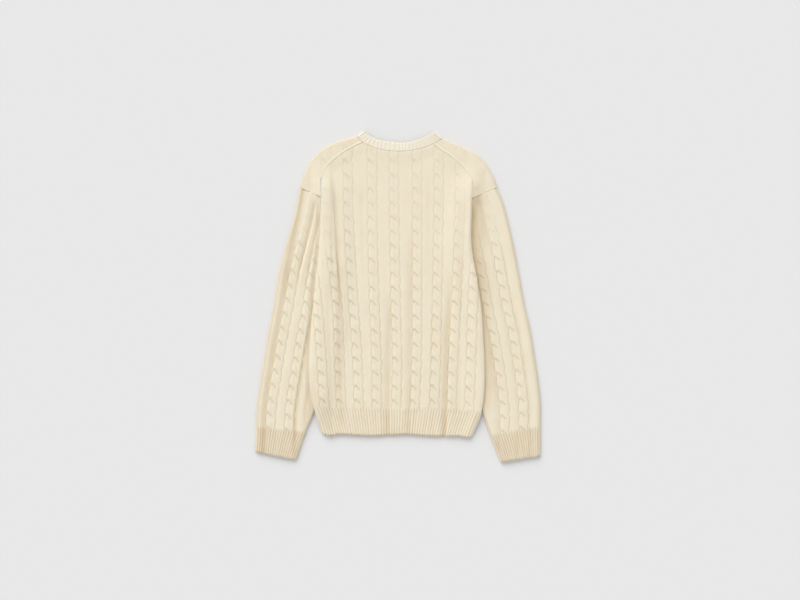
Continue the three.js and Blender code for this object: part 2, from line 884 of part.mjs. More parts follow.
function makeNeckband(material) {
  const body = new Body();
  const rings = neckStations().map(({ seam, edge, facing, raised }) => {
    const corner = (share, side, raise) => {
      const point = seam.clone().lerp(edge, share);
      point.addScaledVector(facing, side * (wall / 2) + raise);
      return body.add(point.x, point.y, point.z);
    };
    const raise = raised ? ribRise : 0;
    return [
      corner(0, 1, 0), corner(neckRibEdge, 1, raise),
      corner(1 - neckRibEdge, 1, raise), corner(1, 1, 0),
      corner(1, -1, 0), corner(0, -1, 0),
    ];
  });
  rings.forEach((ring, order) => {
    const next = rings[(order + 1) % rings.length];
    ring.forEach((corner, place) => {
      const after = (place + 1) % ring.length;
      body.face(corner, next[place], ring[after]);
      body.face(next[place], next[after], ring[after]);
    });
  });
  return body.mesh('neckband', material);
}

function knit(color) {
  return new THREE.MeshStandardMaterial({ color, roughness: 0.95, metalness: 0 });
}

const sweater = new THREE.Group();
sweater.add(
  makeBack(knit('#efe6cf')),
  makeFront(knit('#ece3cb')),
  makeSleeve('sleeve_left', leftSleeve, -1, knit('#eee5cd')),
  makeSleeve('sleeve_right', rightSleeve, 1, knit('#eee5cd')),
  makeNeckband(knit('#f0e8d2')),
);

export default sweater;
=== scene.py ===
"""A cream cable knit pullover, laid flat on its front with its back up, on a pale studio floor.

Sizes are in millimetres in the tables and functions, as in the CAD model, and in metres in Blender.
"""

import bpy
import numpy as np
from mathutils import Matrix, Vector


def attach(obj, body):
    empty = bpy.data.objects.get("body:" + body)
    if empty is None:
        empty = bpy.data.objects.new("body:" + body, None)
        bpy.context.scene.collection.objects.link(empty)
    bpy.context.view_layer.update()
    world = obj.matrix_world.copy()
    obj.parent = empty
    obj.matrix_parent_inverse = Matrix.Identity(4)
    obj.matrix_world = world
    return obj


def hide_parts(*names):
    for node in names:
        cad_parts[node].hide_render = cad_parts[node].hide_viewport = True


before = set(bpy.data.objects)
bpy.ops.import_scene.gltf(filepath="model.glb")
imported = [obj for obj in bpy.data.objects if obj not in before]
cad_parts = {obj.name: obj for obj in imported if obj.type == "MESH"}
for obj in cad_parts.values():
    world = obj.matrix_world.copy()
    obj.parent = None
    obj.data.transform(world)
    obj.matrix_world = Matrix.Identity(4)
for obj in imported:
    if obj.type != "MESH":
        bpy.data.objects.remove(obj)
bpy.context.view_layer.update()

MM = 0.001

# Cloth
WALL = 2.6
REST_GAP = 0.5
SEAM_ASIDE = -0.25
SIDE_TUCK = 0.8
SEAM_RIDGE = 1.5
EDGE_ROLL = 1.2

# Cables: two strands that cross over each other again and again
CROSSING = 31.0
CABLE_HALF = 10.5
CABLE_RISE = 2.2
STRAND_SWING = 4.7
STRAND_HALF = 5.9
CROSSING_TURN = 2.2
COLUMN_SHARE = 0.55
TICK_DEEP = 1.8
TICK_HALF = 1.9
TICK_TOP = -6.5
LOBE_RISE = 0.7
NOTCH = 2.3
PLAIN_RISE = 0.8
GROOVE = 2.4

# Ribs
RIB_RISE = 1.4
HEM_RIBS = 60
CUFF_RIBS = 17
NECK_RIBS = 24

# Knit stitches, for the bump
STITCH_WIDE = 2.9
STITCH_HIGH = 2.2

# Lengths along the body
HEM_Y = -305.0
RIB_TOP_Y = -248.0
ARMHOLE_Y = 217.4
ARMHOLE_TOP = (215.0, 238.0)
ARMHOLE_SLOPE = 0.46
WAVE_REACH = 120.0

# Folds of the body and of the sleeves
SIDE_CURL = 12.0
RIGHT_CURL = 6.0
FOLD_HOLLOW = 1.75
FOLD_RADIUS = FOLD_HOLLOW + WALL
FOLD_HEIGHT = 2 * FOLD_RADIUS
SLEEVE_HEIGHT = 8.2
COVERED_HEIGHT = 6.2
SLEEVE_EDGE = 6.0
SLEEVE_WALL = WALL - 0.3
CUFF_SHARE = 0.1
COVER_LIFT = COVERED_HEIGHT + REST_GAP
LIFT_OUTSIDE = 26.0
MIDDLE_PUFF = 1.4
EDGE_PUFF = FOLD_HEIGHT - 2 * WALL - REST_GAP
FRONT_SLOPE = (5.5, 20.0)
BACK_SLOPE = (9.0, 40.0)
BACK_BELOW = 75.0

# How much darker and warmer painted shade makes the yarn in the dips of folds, in the ribs and beside the
# body
FOLD_SHADE = 0.45
RIB_PAINTED_SHADE = 0.4
TROUGH_SHADE = 1.3
TROUGH_DIP = 1.6
DEEPEST = 1.5
ARMHOLE_RISE = 0.3

# How much sparser the points of the hidden faces are
SPARSER = 4


def table(columns, rows):
    """Rows of numbers under named columns."""
    values = np.array(rows, float)
    return {name: values[:, place] for place, name in enumerate(columns.split())}


# Edges of the body at heights from the shoulder down to the hem
BODY_SIDES = table("y left right", [
    (260, -170, 164),
    (189, -170, 162),
    (117, -172, 161),
    (42, -179, 172),
    (-24, -186, 182),
    (-81, -191, 186),
    (-141, -194, 189),
    (-200, -193, 189),
    (-235, -189, 185),
    (-255, -183, 181),
    (-305, -166, 161),
])

# The hem is uneven: how far its lower edge and the top of its ribs lie above their places
HEM_WAVE = table("x hem rib_top", [
    (-190, 3, 7),
    (-164, 2, 3),
    (-152, -2, 2),
    (-131, 1, 1),
    (-58, -2, 0),
    (15, 1, -1),
    (67, -2, 0.5),
    (100, -3.5, -1),
    (130, -2.5, -3),
    (153, -5.5, -4.5),
    (190, -4.5, -7),
])

# Middle lines of the nine cables of the back
CABLES = "c0 c1 c2 c3 c4 c5 c6 c7 c8"
CABLE_LINES = table("y " + CABLES, [
    (340, -205, -158, -111, -57, -9, 42, 90, 137, 186),
    (170, -200, -154, -108, -56, -8, 42, 89, 135, 174),
    (-10, -177, -134, -98, -52, -5, 42, 86, 128, 164),
    (-141, -167, -128, -89, -47, -2, 41, 83, 121, 160),
    (-305, -158, -122, -84, -46, -5, 33, 77, 116, 153),
])

# The front wraps over the shoulders. It folds there, and meets the back at the shoulder seams.
# The first three rows run along the armhole, below the seam's lower end.
LEFT_SHOULDER = table("fold_x fold_y seam_x seam_y", [
    (-215, 237.5, -170, 216.7),
    (-212, 250, -170, 231),
    (-208, 261, -170, 243.5),
    (-204, 271, -170, 256),
    (-199, 282, -163, 270),
    (-190, 298, -154, 284),
    (-176, 314, -139, 299),
    (-157, 328, -120, 313.5),
    (-135, 338, -104, 323),
    (-113, 345, -90, 330),
    (-92.8, 350.2, -77.2, 336.2),
])
RIGHT_SHOULDER = table("fold_x fold_y seam_x seam_y", [
    (217, 237.5, 163, 213.6),
    (214, 250, 163.4, 228),
    (210, 260.5, 163.8, 241),
    (205, 270, 164, 253.5),
    (199.5, 281, 157, 263.5),
    (189.5, 295.5, 147, 275.5),
    (173.5, 310.5, 134, 290),
    (154, 321.5, 119, 302.5),
    (132, 331.5, 104, 313),
    (114, 338.5, 90, 321.8),
    (99, 344.8, 77, 332.8),
])
ARM_ROWS = 3

# Neckband on top, from the left tip to the right tip, and below along the front's neckline
NECK_TOP = table("seam_x seam_y edge_x edge_y", [
    (-87.5, 345.5, -72, 358),
    (-77, 336.5, -63, 352),
    (-51, 324.8, -46, 344),
    (-28, 318.8, -25, 340),
    (0, 316.6, 1, 337),
    (20, 317.6, 20, 337),
    (42, 320.6, 38, 341),
    (66, 327.6, 57, 349),
    (80.5, 334.5, 68, 354),
    (93, 342, 77, 357.5),
])
NECK_BELOW = table("seam_x seam_y edge_x edge_y", [
    (-87.5, 345.5, -72, 358),
    (-84, 322, -66, 333),
    (-73, 298, -57, 312),
    (-52, 277, -41, 295),
    (-27, 265.5, -21, 285),
    (0, 262, 0, 282),
    (27, 265.5, 21, 285),
    (52, 277, 41, 295),
    (73, 298, 57, 312),
    (87, 321, 69, 333),
    (93, 342, 77, 357.5),
])

# Sleeves: their outer edge, and their inner edge, which the body hides down to its hem
LEFT_SLEEVE = {
    "side": -1,
    "outer": table("y x", [
        (238, -215), (173, -229), (124, -243), (58, -260), (-12, -272), (-94, -287),
        (-155, -297), (-205, -305), (-250, -311), (-287, -312), (-342, -314),
    ]),
    "inner": table("y x", [
        (207, -148), (150, -140), (100, -136), (40, -140), (-25, -146), (-105, -156),
        (-165, -166), (-212, -174), (-257, -185.5), (-299, -203), (-360, -224),
    ]),
    "cables": (33, 74),
    "cuff_top": (-287, -299),
    "shade": 0.85,
    "gathers": table("inward lean start end outer inner rise", [
        (4, 0.065, -60, 270, 7, 7, -1.5),
        (25, 0.015, -20, 200, 4, 6, 1.4),
        (38, 0.03, 10, 230, 6, 2.5, -1.5),
        (45, 0.025, 20, 270, 3, 6, 1.4),
        (51, 0.065, 30, 250, 5, 2.5, -1.4),
        (58, 0.05, 50, 300, 3, 6, 1.2),
        (18, 0.002, 170, 700, 8, 3, -1.3),
        (87, -0.002, 130, 620, 3, 5, -1.3),
        (54, 0.0, 260, 640, 7, 7, 0.7),
        (103, 0.01, 300, 560, 5, 3, -1.1),
        (116, 0.0, 380, 620, 5, 5, -0.8),
    ]),
}
RIGHT_SLEEVE = {
    "side": 1,
    "outer": table("y x", [
        (238, 216.5), (206, 230), (148, 245), (103, 255), (50, 265), (-16, 277), (-73, 290),
        (-135, 300), (-188, 308), (-238, 313), (-287, 313), (-351, 313),
    ]),
    "inner": table("y x", [
        (207, 146), (150, 138), (100, 134), (40, 138), (-25, 145), (-105, 156), (-165, 168),
        (-212, 176), (-254, 185.5), (-283, 194), (-316, 206), (-365.5, 225.5),
    ]),
    "cables": (38, 80),
    "cuff_top": (-287, -306),
    "shade": 0.45,
    "gathers": table("inward lean start end outer inner rise", [
        (12, 0.03, -20, 300, 6, 6, 0.7),
        (26, 0.03, -20, 110, 6, 5, 0.8),
        (42, 0.14, -20, 160, 5, 8, -1.2),
        (66, 0.03, 20, 300, 12, 6, -0.6),
        (25, 0.0, 120, 700, 4, 2.5, -0.8),
        (51, 0.0, 60, 640, 2.5, 5, -0.7),
        (93, 0.0, 120, 700, 3, 7, -1.0),
        (10, 0.0, 260, 700, 5, 6, 0.6),
    ]),
}

# Long soft folds of the back, as lines with their widths on both sides and a rise; their dips also get a
# little painted shade
BACK_FOLDS = table("top_x top_y low_x low_y left right rise", [
    (-140, 250, -126, 0, 4, 10, -1.3),
    (103, -30, 99, -380, 7, 8, -1.1),
    (-27, -90, -29, -380, 9, 9, -0.8),
    (62, 240, 60, 40, 14, 14, 0.8),
    (-82, 200, -72, -60, 14, 14, 0.9),
    (146, 200, 140, 20, 10, 10, -1.0),
    (-151, 285, -150, 0, 17, 5, 2.6),
    (-156, 60, -166, -260, 14, 7, 1.4),
    (159, 290, 158, 80, 9, 9, 2.4),
    (162, 120, 176, -140, 10, 8, 1.2),
    (121, 60, 107, -430, 4, 12, 0.8),
    (-58, 120, -54, -220, 9, 9, 0.7),
    (14, 60, 8, -190, 10, 8, 0.6),
])

# Narrow creases in the outside of the back, with painted shade in their dips
CREASES = table("top_x top_y low_x low_y left right rise", [
    (-144, 275, -125, -60, 2, 6, -1.5),
    (117, 60, 100, -430, 9, 1.8, -1.8),
    (31, 170, 24, -430, 9, 3, -1.1),
    (-17, 20, -21, -380, 9, 3, -1.2),
    (-134, 90, -123, -340, 9, 7, -1.0),
    (-152, -30, -142, -420, 5, 4, -0.6),
    (78, 10, 70, -330, 4, 6, -0.5),
    (139, 110, 134, -300, 6, 3, -0.5),
    (-80, 250, -78, 60, 5, 5, -0.4),
    (66, 260, 66, 120, 5, 5, -0.4),
])


def smooth_step(value):
    inside = np.clip(value, 0, 1)
    return inside * inside * (3 - 2 * inside)


def mix(first, second, share):
    return first + (second - first) * share


def curve_through(rows, along, value):
    """A smooth curve through a table's rows, as a function of one of its columns."""
    order = np.argsort(rows[along])
    places = rows[along][order]
    heights = rows[value][order]
    before = np.maximum(np.arange(len(places)) - 1, 0)
    after = np.minimum(np.arange(len(places)) + 1, len(places) - 1)
    slopes = (heights[after] - heights[before]) / (places[after] - places[before])

    def at(position):
        position = np.asarray(position, float)
        start = np.clip(np.searchsorted(places, position) - 1, 0, len(places) - 2)
        span = places[start + 1] - places[start]
        share = np.clip((position - places[start]) / span, 0, 1)
        chord = heights[start + 1] - heights[start]
        at_start = slopes[start] * span - chord
        at_end = slopes[start + 1] * span - chord
        bend = share * (1 - share) * ((1 - share) * at_start - share * at_end)
        return heights[start] + chord * share + bend

    return at


def ordered(rows):
    """The same table with a column that counts its rows."""
    return {**rows, "order": np.arange(len(next(iter(rows.values()))), dtype=float)}


def part_of(rows, start):
    return {name: values[start:] for name, values in rows.items()}


body_left = curve_through(BODY_SIDES, "y", "left")
body_right = curve_through(BODY_SIDES, "y", "right")
hem_shift_at = curve_through(HEM_WAVE, "x", "hem")
rib_shift_at = curve_through(HEM_WAVE, "x", "rib_top")
left_seam_at = curve_through(part_of(LEFT_SHOULDER, ARM_ROWS), "seam_x", "seam_y")
right_seam_at = curve_through(part_of(RIGHT_SHOULDER, ARM_ROWS), "seam_x", "seam_y")
neck_seam_at = curve_through(NECK_TOP, "seam_x", "seam_y")
NECK_LEFT = LEFT_SHOULDER["seam_x"][-1]
NECK_RIGHT = RIGHT_SHOULDER["seam_x"][-1]
cable_at = [curve_through(CABLE_LINES, "y", name) for name in CABLES.split()]
sleeve_inner_left = curve_through(LEFT_SLEEVE["inner"], "y", "x")
sleeve_inner_right = curve_through(RIGHT_SLEEVE["inner"], "y", "x")


def back_top_at(x):
    """Top edge of the back: left shoulder seam, neck seam, right shoulder seam."""
    neck = neck_seam_at(x) - SEAM_ASIDE
    return np.where(x < NECK_LEFT, left_seam_at(x), np.where(x > NECK_RIGHT, right_seam_at(x), neck))


def armhole_line_at(x):
    """The armhole runs down and inward under the body's side."""
    return ARMHOLE_TOP[1] - np.abs(ARMHOLE_TOP[0] - np.abs(x)) * ARMHOLE_SLOPE


def lift_at(x, y, slope):
    """How far the front is lifted off the surface by the sleeves that lie under its sides."""
    beyond, spread = slope
    left = smooth_step((sleeve_inner_left(y) + beyond + spread - x) / spread)
    right = smooth_step((x - sleeve_inner_right(y) + beyond + spread) / spread)
    reach = BACK_BELOW if slope == BACK_SLOPE else spread
    below = smooth_step(1 - (y - armhole_line_at(x) - beyond) / reach)
    outside = np.maximum(np.maximum(body_left(y) - x, x - body_right(y)), 0)
    return COVER_LIFT * np.maximum(left, right) * below * smooth_step(1 - outside / LIFT_OUTSIDE)


def wave_at(x, y):
    """How far a place of the body lies above its own height, along the uneven hem and its ribs."""
    above = rib_shift_at(x) * smooth_step(1 - (y - RIB_TOP_Y) / WAVE_REACH)
    share = (y - HEM_Y) / (RIB_TOP_Y - HEM_Y)
    return np.where(y > RIB_TOP_Y, above, mix(hem_shift_at(x), rib_shift_at(x), share))


def waved(points):
    """The same points, shifted along the uneven hem."""
    moved = points.copy()
    moved[..., 1] += wave_at(points[..., 0], points[..., 1])
    return moved


def fold_rise(folds, x, y):
    """Rise of the folds of a table, which fade out at both ends."""
    rise = np.zeros(np.broadcast(x, y).shape)
    for top_x, top_y, low_x, low_y, left, right, height in zip(*folds.values()):
        share = (top_y - y) / (top_y - low_y)
        aside = x - mix(top_x, low_x, share)
        ends = smooth_step(share * 5) * smooth_step((1 - share) * 5)
        width = np.where(aside < 0, left, right)
        rise = rise + height * ends * np.exp(-((aside / width) ** 2))
    return rise


def back_inside(x, y):
    """Height of the inside of the back, which lies on the front."""
    to_side = np.minimum(x - body_left(y), body_right(y) - x)
    side = smooth_step(1 - (to_side - SIDE_CURL) / 22)
    top = smooth_step(1 - (back_top_at(x) - y) / 30)
    puff = mix(MIDDLE_PUFF, EDGE_PUFF, np.maximum(side, top))
    level = puff + fold_rise(BACK_FOLDS, x, y) * (1 - 0.7 * top)
    return lift_at(x, y, BACK_SLOPE) + WALL + REST_GAP + np.maximum(level, 0.1)


def from_crossing(down):
    """How far a place lies below the nearest crossing of the strands."""
    return (down / CROSSING) % 1 * CROSSING - CROSSING / 2


def cable_half(across, down):
    """Half the width of a cable, which is drawn in at its crossings, higher on its right side."""
    notch_at = np.where(across < 0, -1.0, -5.0)
    return CABLE_HALF - NOTCH * np.exp(-(((from_crossing(down) - notch_at) / 4.5) ** 2))


def cable_height(across, down):
    """How far a cable stands above the groove beside it, its strand's own place, and its painted shade
    value, lower toward its edges and in the crossing ticks.
    """
    height = np.zeros(np.shape(across))
    own_place = np.array(across, float)
    for strand in (0, 1):
        turn = np.pi * (down / CROSSING + strand)
        swing = np.tanh(CROSSING_TURN * np.cos(turn)) / np.tanh(CROSSING_TURN)
        offset = (across + STRAND_SWING * swing) / STRAND_HALF
        level = 0.72 + 0.28 * np.sin(turn)
        rise = CABLE_RISE * level * np.sqrt(np.clip(1 - offset * offset, 0, 1))
        higher = rise > height
        height = np.where(higher, rise, height)
        own_place = np.where(higher, offset * STRAND_HALF, own_place)
    column = np.sqrt(np.clip(1 - (across / cable_half(across, down)) ** 2, 0, 1))
    height = np.minimum(height, CABLE_RISE * column * 1.6)
    height = np.maximum(height, CABLE_RISE * COLUMN_SHARE * column)
    beyond = across - TICK_TOP
    arch = np.where(beyond > 0, 0.95 * beyond, -1.5 * beyond) - 5
    from_tick = from_crossing(down) - arch
    tick = np.exp(-((from_tick / TICK_HALF) ** 2)) * smooth_step((8 - across) / 6)
    lobe = np.exp(-((beyond / 3.2) ** 2)) * np.exp(-(((from_tick - 5.5) / 4) ** 2))
    # Painted shade: darker toward the cable's edges and in the crossing ticks.
    shade_tone = np.clip(height / PLAIN_RISE, 0, 1) - tick
    return height - TICK_DEEP * tick + LOBE_RISE * lobe, own_place, shade_tone


def knit_height(from_cable, down):
    """Relief of a cable and of the plain columns beside it, the strand's place and its painted shade
    value, darker in the grooves.
    """
    distance = np.abs(from_cable)
    cable, own_place, shade_tone = cable_height(from_cable, down)
    half = cable_half(from_cable, down)
    plain = smooth_step((distance - half) / GROOVE)
    inside = distance < half
    return (
        np.where(inside, cable, PLAIN_RISE * plain),
        np.where(inside, own_place, from_cable),
        np.where(inside, shade_tone, plain),
    )


def rib_height(share, ribs):
    """Round ribs with narrow grooves between them, none quite as high as the next."""
    wave = np.abs(np.sin(np.pi * ribs * share))
    own_level = 1 + 0.12 * np.sin(np.floor(ribs * share) * 2.4) * np.cos(np.floor(ribs * share) * 0.7)
    return RIB_RISE * own_level * wave ** 0.6


class Cloth:
    """Points, faces, stitch places and shade values of one closed piece; the shade values, painted shade
    included, set its colour.
    """

    def __init__(self):
        self.points = []
        self.places = []
        self.shade_tones = []
        self.quads = []
        self.triangles = []
        self.count = 0

    def add_grid(self, points, places, shade_tones, flip=False, ring=False):
        """Adds a grid of points and the faces between them, and returns the points' numbers."""
        rows, columns = points.shape[:2]
        ids = self.count + np.arange(rows * columns).reshape(rows, columns)
        self.count += rows * columns
        self.points.append(points.reshape(-1, 3))
        self.places.append(np.broadcast_to(places, (rows, columns, 2)).reshape(-1, 2))
        self.shade_tones.append(np.broadcast_to(shade_tones, (rows, columns)).reshape(-1))
        if ring:
            ids = np.concatenate([ids, ids[:, :1]], axis=1)
        corners = [ids[:-1, :-1], ids[:-1, 1:], ids[1:, 1:], ids[1:, :-1]]
        if flip:
            corners.reverse()
        self.quads.append(np.stack(corners, axis=-1).reshape(-1, 4))
        return ids

    def join(self, lower, lower_share, upper, upper_share):
        """Joins two lines of points whose shares run from 0 to 1 and that may differ in number."""
        low = high = 0
        while low < len(lower) - 1 or high < len(upper) - 1:
            next_low = lower_share[low + 1] if low < len(lower) - 1 else np.inf
            next_high = upper_share[high + 1] if high < len(upper) - 1 else np.inf
            if next_low <= next_high:
                self.triangles.append((lower[low], lower[low + 1], upper[high]))
                low += 1
            else:
                self.triangles.append((lower[low], upper[high + 1], upper[high]))
                high += 1

    def join_even(self, lower, upper):
        self.join(lower, np.linspace(0, 1, len(lower)), upper, np.linspace(0, 1, len(upper)))

    def piece(self, name, material):
        """Makes the Blender object, in metres, with the stitch places as its UV map."""
        points = np.concatenate(self.points) * MM
        quads = np.concatenate(self.quads)
        faces = quads.tolist() + [tuple(int(corner) for corner in face) for face in self.triangles]
        mesh = bpy.data.meshes.new(name)
        mesh.from_pydata(points.tolist(), [], faces)
        mesh.validate()
        mesh.shade_smooth()
        corners = np.zeros(len(mesh.loops), np.int32)
        mesh.loops.foreach_get("vertex_index", corners)
        places = np.concatenate(self.places) / (STITCH_WIDE, STITCH_HIGH)
        layer = mesh.uv_layers.new(name="stitches")
        layer.data.foreach_set("uv", places[corners].astype(np.float32).ravel())
        # The attribute named depth carries the shade values, painted shade included, that set the colour.
        depth = mesh.attributes.new("depth", "FLOAT", "POINT")
        depth.data.foreach_set("value", np.concatenate(self.shade_tones).astype(np.float32))
        obj = bpy.data.objects.new(name, mesh)
        bpy.context.scene.collection.objects.link(obj)
        mesh.materials.append(material)
        return obj


def grid_normals(points):
    """Unit normals of a grid of points, to the left of its columns' way as its rows go on."""
    across = np.gradient(points, axis=1)
    along = np.gradient(points, axis=0)
    normals = np.cross(across, along)
    return normals / np.maximum(np.linalg.norm(normals, axis=2, keepdims=True), 1e-9)


def roll_at(distance):
    """How far a rounded edge falls below the face, at a distance from the edge."""
    inside = np.clip(1 - distance / EDGE_ROLL, 0, 1)
    return EDGE_ROLL * 0.8 * (1 - np.sqrt(1 - inside * inside * 0.98))


def sewn_at(x):
    """How deep the shoulder seams are, which fade out toward the armholes."""
    return smooth_step((170 - np.abs(x)) / 38)


def nearest_cable(place, y):
    distances = np.stack([place - cable(y) for cable in cable_at])
    nearest = np.argmin(np.abs(distances), axis=0)
    return np.take_along_axis(distances, nearest[None], axis=0)[0]


def back_sheet(across_count, down_shares, depth):
    """Points of one face of the back, before its relief, with the place along the cloth."""
    across_share = np.linspace(0, 1, across_count)[None, :]
    down_share = down_shares[:, None]
    x = mix(body_left(HEM_Y), body_right(HEM_Y), across_share)
    y = HEM_Y + 0 * x
    for _ in range(6):
        y = mix(HEM_Y, back_top_at(x) - SEAM_ASIDE / 2, down_share)
        x, z, place, length = back_section(across_share, y, depth)
    return np.stack([x, y + 0 * x, z], axis=-1), place, length


def cable_depth(x, y):
    """The cables lie flatter toward the shoulders, and are pulled smooth on the side folds."""
    upper = mix(0.5, 1.0, smooth_step((250 - y) / 300))
    left = smooth_step((x - body_left(y) - 34) / 16 + smooth_step((150 - y) / 90) * 3)
    right = smooth_step((body_right(y) - x - 22) / 14 + smooth_step((110 - y) / 90) * 3)
    uneven = 1 + 0.25 * np.sin(x * 0.043 + 1.3) * np.sin(y * 0.083 + x * 0.031)
    return upper * uneven * mix(0.25, 1.0, np.minimum(left, right))


def back_section(across_share, y, depth):
    """A section of the back: its place is measured along the cloth, down over its side folds."""
    sides = []
    right_curl = mix(SIDE_CURL, RIGHT_CURL, smooth_step((y - 70) / 80))
    for edge, inward, curl in ((body_left(y), 1, SIDE_CURL), (body_right(y), -1, right_curl)):
        joint = edge + inward * curl
        lift = np.maximum(lift_at(edge, y, BACK_SLOPE), lift_at(joint, y, BACK_SLOPE))
        top = back_inside(joint, y) + WALL
        flat = lift + FOLD_HEIGHT - 0.05
        seam = mix(lift + WALL + REST_GAP, flat, smooth_step((y - 196) / 34))
        rise = top - seam
        length = (np.pi / 2) * np.sqrt((curl ** 2 + rise ** 2) / 2)
        sides.append((joint, seam, rise, length, inward, curl))
    start = sides[0][0] - sides[0][3]
    end = sides[1][0] + sides[1][3]
    place = mix(start, end, across_share)
    x = place
    z = back_inside(np.clip(place, sides[0][0], sides[1][0]), y) + WALL - depth
    soft = smooth_step((y - 196) / 34)
    for joint, seam, rise, length, inward, curl in sides:
        past = (joint - place) * inward
        angle = np.clip(past / length, 0, 1) * (np.pi / 2)
        on_curl = past > 0
        x = np.where(on_curl, joint - inward * (curl - depth) * np.sin(angle), x)
        profile = mix(np.cos(angle), 0.5 + 0.5 * np.cos(2 * angle), soft)
        z = np.where(on_curl, seam + (rise - depth) * profile, z)
    return x, z, place, end - start


def make_back(material):
    cloth = Cloth()
    across_count = 326
    rib_rows = np.linspace(0, 0.091, 14)
    knit_rows = np.linspace(0.091, 1, 260)[1:-1]
    shares = np.concatenate([rib_rows, knit_rows, [0.9988, 1]])
    points, place, length = back_sheet(across_count, shares, 0)
    y = points[..., 1]
    knit, own_place, shade_tone = knit_height(nearest_cable(place, y), -y)
    depth = cable_depth(points[..., 0], y)
    knit = knit * depth
    shade = 1 - (1 - shade_tone) * mix(0.25, 1.0, np.minimum(depth, 1))
    across_share = np.linspace(0, 1, across_count)[None, :] + 0 * y
    rib = rib_height(across_share, HEM_RIBS)
    into_rib = smooth_step((RIB_TOP_Y + 4 - y) / 8)
    relief = mix(knit, rib, into_rib)
    to_edge = np.minimum(y - HEM_Y, back_top_at(points[..., 0]) - y)
    creases = fold_rise(CREASES, points[..., 0], y)
    roll = roll_at(to_edge) * mix(1.0, sewn_at(points[..., 0]), smooth_step((y - 150) / 50))
    relief = relief - roll
    normals = grid_normals(points)
    outside = points + normals * (relief + creases)[..., None]
    outside[..., 1] = points[..., 1]
    places = np.stack([mix(own_place, place, into_rib), y], axis=-1)
    folds = fold_rise(BACK_FOLDS, points[..., 0], y)
    # Painted shade: darker ribs, darker rolled edges and darker dips of the creases and folds.
    shade = mix(shade, rib - RIB_PAINTED_SHADE, into_rib) - 0.5 * roll
    shade = shade + FOLD_SHADE * (np.minimum(creases, 0) + 0.3 * np.minimum(folds, 0))
    # Painted shade on the lower left side of the back, near the hem.
    from_side = points[..., 0] - body_left(y)
    shade = shade - 0.45 * smooth_step((-120 - y) / 90) * (1 - into_rib) * np.exp(-((from_side / 20) ** 2))
    outer = cloth.add_grid(waved(outside), places, shade)
    inner_rows = shares[::SPARSER] if len(shares) % SPARSER == 1 else np.append(shares[::SPARSER], 1)
    inside, inside_place, _ = back_sheet(across_count // SPARSER, inner_rows, WALL)
    inside_places = np.stack([inside_place, inside[..., 1]], axis=-1)
    inner = cloth.add_grid(waved(inside), inside_places, 0.5, flip=True)
    cloth.join_even(inner[0], outer[0])
    cloth.join_even(outer[-1], inner[-1])
    cloth.join(outer[:, 0], shares, inner[:, 0], inner_rows)
    cloth.join(inner[:, -1], inner_rows, outer[:, -1], shares)
    return cloth.piece("back_panel", material)


def sleeve_plan(sleeve, share):
    """Ends of a sleeve's sections, from the cuff at 0 to the armhole at 1."""
    ends = []
    for edge, cuff_y in zip(("outer", "inner"), sleeve["cuff_top"]):
        rows = sleeve[edge]
        low, high = rows["y"][-1], rows["y"][0]
        y = np.where(
            share < CUFF_SHARE,
            mix(low, cuff_y, share / CUFF_SHARE),
            mix(cuff_y, high, (share - CUFF_SHARE) / (1 - CUFF_SHARE)),
        )
        ends.append(np.stack([curve_through(rows, "y", "x")(y), y], axis=-1))
    outer, inner = ends
    left, right = (outer, inner) if sleeve["side"] < 0 else (inner, outer)
    return left, right, np.linalg.norm(right - left, axis=-1)


def beside_body(sleeve, x, y):
    """How far a place lies outside the body's edge."""
    return body_left(y) - x if sleeve["side"] < 0 else x - body_right(y)


def sleeve_raised(sleeve, x, y):
    """How far the armhole seam holds the sleeve up beside the fold of the body."""
    line = armhole_line_at(x)
    held = lift_at(x, line, BACK_SLOPE) * smooth_step(1 - (line - y) / 45)
    held = held + ARMHOLE_RISE * smooth_step(1 - (line - y) / 12)
    return held * smooth_step((beside_body(sleeve, x, y) + 0.7) / 1.2)


def dip_and_shadow_at(x, y):
    """The dip between the right side of the body and the sleeve beside it, from 0 to 1: it shapes the dip
    and sets the painted shadow that the body casts into it.
    """
    beside = x - body_right(y)
    top = smooth_step((y - 60) / 120)
    near = smooth_step(1 - (beside - mix(7, 5, top)) / mix(15, 12, top))
    far = smooth_step(1 - (beside - 8) / 34)
    return smooth_step((beside + 2) / 5) * (0.55 * near + 0.45 * far)


def sleeve_covered(sleeve, x, y):
    """How far a place of the sleeve lies under the body's side, from 0 to 1."""
    edge = beside_body(sleeve, x, y)
    return np.where(y < HEM_Y - 8, 0, smooth_step(1 - (edge - 2.5) / 9))


def gather_rise(sleeve, inward, down):
    """Soft gathers of a sleeve, which fan out below the armhole."""
    rise = np.zeros(np.shape(inward))
    for place, lean, start, end, outer, inner, height in zip(*sleeve["gathers"].values()):
        fade = smooth_step((down - start) / 40) * smooth_step((end - down) / 90)
        aside = inward - place - lean * down
        width = np.where(aside < 0, outer, inner)
        rise = rise + height * fade * np.exp(-((aside / width) ** 2))
    return rise


